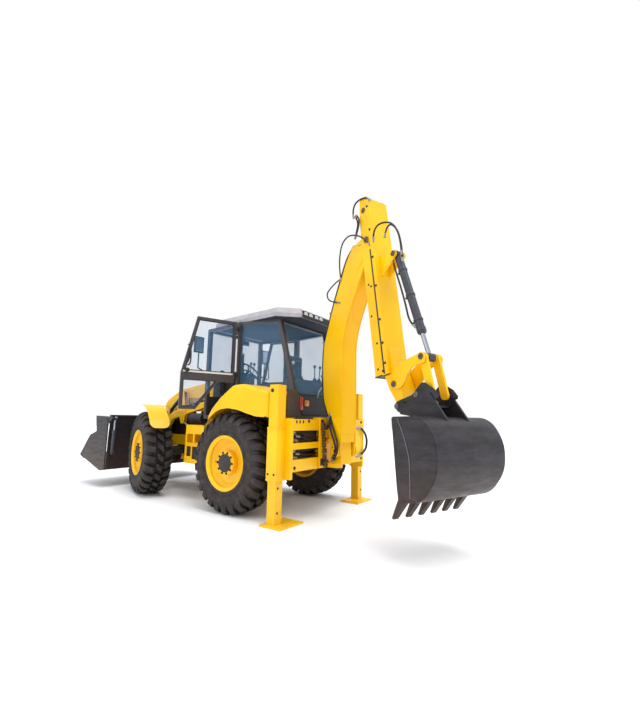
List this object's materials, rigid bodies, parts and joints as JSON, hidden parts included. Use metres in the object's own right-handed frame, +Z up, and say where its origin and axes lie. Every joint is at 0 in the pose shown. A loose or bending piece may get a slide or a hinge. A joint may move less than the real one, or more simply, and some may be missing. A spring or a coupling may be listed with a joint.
{
  "type": "backhoe loader",
  "caption": "Wheeled digger with a front loader shovel that clams open, a glazed cab, and a side-shifting rear digging arm with an extending dipper, bucket and drop-down stabilizers.",
  "frame": {"origin": "bottom centre of the whole machine's bounding box in its rest pose, on the ground", "axes": "+X forward towards the loader shovel, +Y to the driver's left, +Z up"},
  "size_m": [7.5933, 2.7938, 4.3014],
  "materials": {
    "black_plastic": "matt black moulding",
    "bucket_steel": "dark worn bucket steel",
    "cab_glazing": "lightly tinted safety glass",
    "cab_paint": "satin dark grey paint",
    "chrome_rod": "polished chromed bar",
    "cylinder_paint": "dark blue-grey cylinder paint",
    "dark_casting": "dark painted casting",
    "rim_paint": "yellow paint, dusty",
    "roof_plastic": "matt light grey moulding",
    "seat_fabric": "dark woven seat cloth",
    "tyre_rubber": "matt black rubber, dusty",
    "yellow_paint": "glossy industrial yellow paint, lightly soiled"
  },
  "bodies": {
    "frame": {"main_frame": "yellow_paint", "axle_housings": "dark_casting", "engine_block": "dark_casting", "cab_frame": "cab_paint", "cab_roof": "roof_plastic", "cab_glass": "cab_glazing", "seat": "seat_fabric", "seat_base": "black_plastic", "cab_controls": "black_plastic", "rear_fenders": "yellow_paint", "cowl": "black_plastic", "front_grille": "black_plastic", "side_tanks": "black_plastic", "rear_frame": "yellow_paint", "stabilizer_housings": "yellow_paint", "cab_fittings": "black_plastic", "steps": "yellow_paint"},
    "rear_wheel_left": {"rim_rear_left": "rim_paint", "tyre_rear_left": "tyre_rubber"},
    "steer_left": {"knuckle_left": "dark_casting", "front_fender_left": "yellow_paint"},
    "front_wheel_left": {"rim_front_left": "rim_paint", "tyre_front_left": "tyre_rubber"},
    "door_left": {"door_left": "cab_paint", "door_left_glass": "cab_glazing"},
    "stabilizer_leg_left": {"stabilizer_leg_left": "yellow_paint"},
    "rear_wheel_right": {"rim_rear_right": "rim_paint", "tyre_rear_right": "tyre_rubber"},
    "steer_right": {"knuckle_right": "dark_casting", "front_fender_right": "yellow_paint"},
    "front_wheel_right": {"rim_front_right": "rim_paint", "tyre_front_right": "tyre_rubber"},
    "door_right": {"door_right": "cab_paint", "door_right_glass": "cab_glazing"},
    "stabilizer_leg_right": {"stabilizer_leg_right": "yellow_paint"},
    "bonnet": {"bonnet": "yellow_paint"},
    "loader_arms": {"loader_arms": "yellow_paint"},
    "loader_bucket": {"loader_bucket": "bucket_steel"},
    "bucket_clam": {"bucket_clam": "bucket_steel"},
    "lift_barrels": {"lift_barrels": "cylinder_paint"},
    "lift_rods": {"lift_rods": "chrome_rod"},
    "tilt_barrels": {"tilt_barrels": "cylinder_paint"},
    "tilt_rods": {"tilt_rods": "chrome_rod"},
    "clam_barrels": {"clam_barrels": "cylinder_paint"},
    "clam_rods": {"clam_rods": "chrome_rod"},
    "carriage": {"carriage": "yellow_paint"},
    "swing_post": {"swing_post": "yellow_paint"},
    "boom": {"boom": "yellow_paint"},
    "boom_barrel": {"boom_barrel": "cylinder_paint"},
    "boom_rod": {"boom_rod": "chrome_rod"},
    "dipper": {"dipper": "yellow_paint"},
    "dipper_barrel": {"dipper_barrel": "cylinder_paint"},
    "dipper_rod": {"dipper_rod": "chrome_rod"},
    "dipper_extension": {"dipper_extension": "yellow_paint"},
    "bucket_barrel": {"bucket_barrel": "cylinder_paint"},
    "bucket_rod": {"bucket_rod": "chrome_rod"},
    "idler_links": {"idler_links": "yellow_paint"},
    "push_links": {"push_links": "yellow_paint"},
    "hoe_bucket": {"hoe_coupler": "bucket_steel", "hoe_bucket": "bucket_steel"}
  },
  "joints": [
    {"name": "rear_left_spin", "type": "hinge", "parent": "frame", "child": "rear_wheel_left", "pos_m": [-0.328, 0.77, 0.695], "axis": [0, 1, 0], "continuous": true},
    {"name": "steer_left", "type": "hinge", "parent": "frame", "child": "steer_left", "pos_m": [1.802, 0.595, 0.695], "axis": [0, 0, 1], "range_deg": [-8, 42]},
    {"name": "front_left_spin", "type": "hinge", "parent": "steer_left", "child": "front_wheel_left", "pos_m": [1.85316, 0.76235, 0.695], "axis": [0.2924, 0.9563, 0], "continuous": true},
    {"name": "rear_right_spin", "type": "hinge", "parent": "frame", "child": "rear_wheel_right", "pos_m": [-0.328, -1.02, 0.695], "axis": [0, 1, 0], "continuous": true},
    {"name": "steer_right", "type": "hinge", "parent": "frame", "child": "steer_right", "pos_m": [1.802, -0.845, 0.695], "axis": [0, 0, 1], "range_deg": [-9, 43]},
    {"name": "front_right_spin", "type": "hinge", "parent": "steer_right", "child": "front_wheel_right", "pos_m": [1.75083, -1.01235, 0.695], "axis": [0.2924, 0.9563, 0], "continuous": true},
    {"name": "bonnet_hinge", "type": "hinge", "parent": "frame", "child": "bonnet", "pos_m": [0.922, -0.125, 1.985], "axis": [0, -1, 0], "range_deg": [0, 48]},
    {"name": "door_left_hinge", "type": "hinge", "parent": "frame", "child": "door_left", "pos_m": [-0.074, 0.629, 2], "axis": [0, 0, 1], "range_deg": [-75, 10]},
    {"name": "door_right_hinge", "type": "hinge", "parent": "frame", "child": "door_right", "pos_m": [-0.074, -0.879, 2], "axis": [0, 0, -1], "range_deg": [0, 80]},
    {"name": "loader_lift", "type": "hinge", "parent": "frame", "child": "loader_arms", "pos_m": [0.912, -0.125, 1.56], "axis": [0, -1, 0], "range_deg": [-7, 85]},
    {"name": "bucket_tilt", "type": "hinge", "parent": "loader_arms", "child": "loader_bucket", "pos_m": [2.722, -0.125, 0.47], "axis": [0, 1, 0], "range_deg": [-15, 80]},
    {"name": "clam_open", "type": "hinge", "parent": "loader_bucket", "child": "bucket_clam", "pos_m": [2.837, -0.125, 1.225], "axis": [0, -1, 0], "range_deg": [0, 50]},
    {"name": "lift_barrel_turn", "type": "hinge", "parent": "frame", "child": "lift_barrels", "pos_m": [0.662, -0.125, 0.7], "axis": [0, -1, 0], "range_deg": [-5.22, 41.08]},
    {"name": "lift_rod_slide", "type": "slide", "parent": "lift_barrels", "child": "lift_rods", "axis": [0.8815, 0, 0.4722], "range_m": [-0.06307, 0.65437]},
    {"name": "tilt_barrel_turn", "type": "hinge", "parent": "loader_arms", "child": "tilt_barrels", "pos_m": [1.662, -0.125, 1.745], "axis": [0, 1, 0], "range_deg": [-4.64, 2.49]},
    {"name": "tilt_rod_slide", "type": "slide", "parent": "tilt_barrels", "child": "tilt_rods", "axis": [0.7761, 0, -0.6306], "range_m": [-0.10703, 0.52749]},
    {"name": "clam_barrel_turn", "type": "hinge", "parent": "loader_bucket", "child": "clam_barrels", "pos_m": [2.707, -0.125, 0.64], "axis": [0, -1, 0], "range_deg": [-3.89, 2]},
    {"name": "clam_rod_slide", "type": "slide", "parent": "clam_barrels", "child": "clam_rods", "axis": [-0.0325, 0, 0.9995], "range_m": [-0.13778, 0.01]},
    {"name": "carriage_slide", "type": "slide", "parent": "frame", "child": "carriage", "axis": [0, 1, 0], "range_m": [-0.64, 0.36]},
    {"name": "hoe_swing", "type": "hinge", "parent": "carriage", "child": "swing_post", "pos_m": [-1.578, 0.015, 0.85], "axis": [0, 0, -1], "range_deg": [-112, 68]},
    {"name": "boom_lift", "type": "hinge", "parent": "swing_post", "child": "boom", "pos_m": [-1.71708, 0.07119, 0.905], "axis": [-0.3746, -0.9272, 0], "range_deg": [-6, 100]},
    {"name": "dipper_swing", "type": "hinge", "parent": "boom", "child": "dipper", "pos_m": [-2.32438, 0.31656, 3.66], "axis": [-0.3746, -0.9272, 0], "range_deg": [-85, 12]},
    {"name": "dipper_extend", "type": "slide", "parent": "dipper", "child": "dipper_extension", "axis": [-0.1466, 0.0592, -0.9874], "range_m": [0, 1.1]},
    {"name": "bucket_curl", "type": "hinge", "parent": "dipper_extension", "child": "hoe_bucket", "pos_m": [-2.88069, 0.54132, 1.49], "axis": [0.3746, 0.9272, 0], "range_deg": [-95, 44]},
    {"name": "boom_barrel_turn", "type": "hinge", "parent": "swing_post", "child": "boom_barrel", "pos_m": [-1.50846, -0.0131, 1.165], "axis": [-0.3746, -0.9272, 0], "range_deg": [-8.2, 105.38]},
    {"name": "boom_rod_slide", "type": "slide", "parent": "boom_barrel", "child": "boom_rod", "axis": [0.0218, -0.0088, 0.9997], "range_m": [-0.0413, 0.5316]},
    {"name": "dipper_barrel_turn", "type": "hinge", "parent": "boom", "child": "dipper_barrel", "pos_m": [-1.56224, 0.00863, 2.692], "axis": [-0.3746, -0.9272, 0], "range_deg": [-11.66, 3.36]},
    {"name": "dipper_rod_slide", "type": "slide", "parent": "dipper_barrel", "child": "dipper_rod", "axis": [-0.4299, 0.1737, 0.886], "range_m": [-0.5969, 0.09286]},
    {"name": "bucket_barrel_turn", "type": "hinge", "parent": "dipper_extension", "child": "bucket_barrel", "pos_m": [-2.7138, 0.47389, 3.34], "axis": [0.3746, 0.9272, 0], "range_deg": [-2.05, 2.11]},
    {"name": "bucket_rod_slide", "type": "slide", "parent": "bucket_barrel", "child": "bucket_rod", "axis": [-0.3089, 0.1248, -0.9429], "range_m": [-0.2711, 0.57375]},
    {"name": "idler_turn", "type": "hinge", "parent": "dipper_extension", "child": "idler_links", "pos_m": [-2.76943, 0.49637, 1.74], "axis": [0.3746, 0.9272, 0], "range_deg": [-77.74, 37.08]},
    {"name": "push_link_turn", "type": "hinge", "parent": "idler_links", "child": "push_links", "pos_m": [-3.14958, 0.64996, 2.01], "axis": [0.3746, 0.9272, 0], "range_deg": [-20.36, 41.65]},
    {"name": "stabilizer_left", "type": "slide", "parent": "frame", "child": "stabilizer_leg_left", "axis": [0, 0, -1], "range_m": [-0.45, 0.15]},
    {"name": "stabilizer_right", "type": "slide", "parent": "frame", "child": "stabilizer_leg_right", "axis": [0, 0, -1], "range_m": [-0.45, 0.15]}
  ],
  "couplings": [
    {"joint": "steer_right", "follows": "steer_left", "ratio": 1},
    {"joint": "lift_barrel_turn", "follows": "loader_lift", "ratio": 0.45971},
    {"joint": "lift_rod_slide", "follows": "loader_lift", "m_per_rad": 0.43435},
    {"joint": "tilt_barrel_turn", "follows": "bucket_tilt", "ratio": -0.03295},
    {"joint": "tilt_rod_slide", "follows": "bucket_tilt", "m_per_rad": 0.37063},
    {"joint": "clam_barrel_turn", "follows": "clam_open", "ratio": -0.037734},
    {"joint": "clam_rod_slide", "follows": "clam_open", "m_per_rad": -0.14642},
    {"joint": "boom_barrel_turn", "follows": "boom_lift", "ratio": 1.0338},
    {"joint": "boom_rod_slide", "follows": "boom_lift", "m_per_rad": 0.29886},
    {"joint": "dipper_barrel_turn", "follows": "dipper_swing", "ratio": 0.1137},
    {"joint": "dipper_rod_slide", "follows": "dipper_swing", "m_per_rad": 0.39561},
    {"joint": "bucket_barrel_turn", "follows": "bucket_curl", "ratio": -0.001123},
    {"joint": "bucket_rod_slide", "follows": "bucket_curl", "m_per_rad": -0.34},
    {"joint": "idler_turn", "follows": "bucket_curl", "ratio": 0.79723},
    {"joint": "push_link_turn", "follows": "bucket_curl", "ratio": -0.41732}
  ]
}
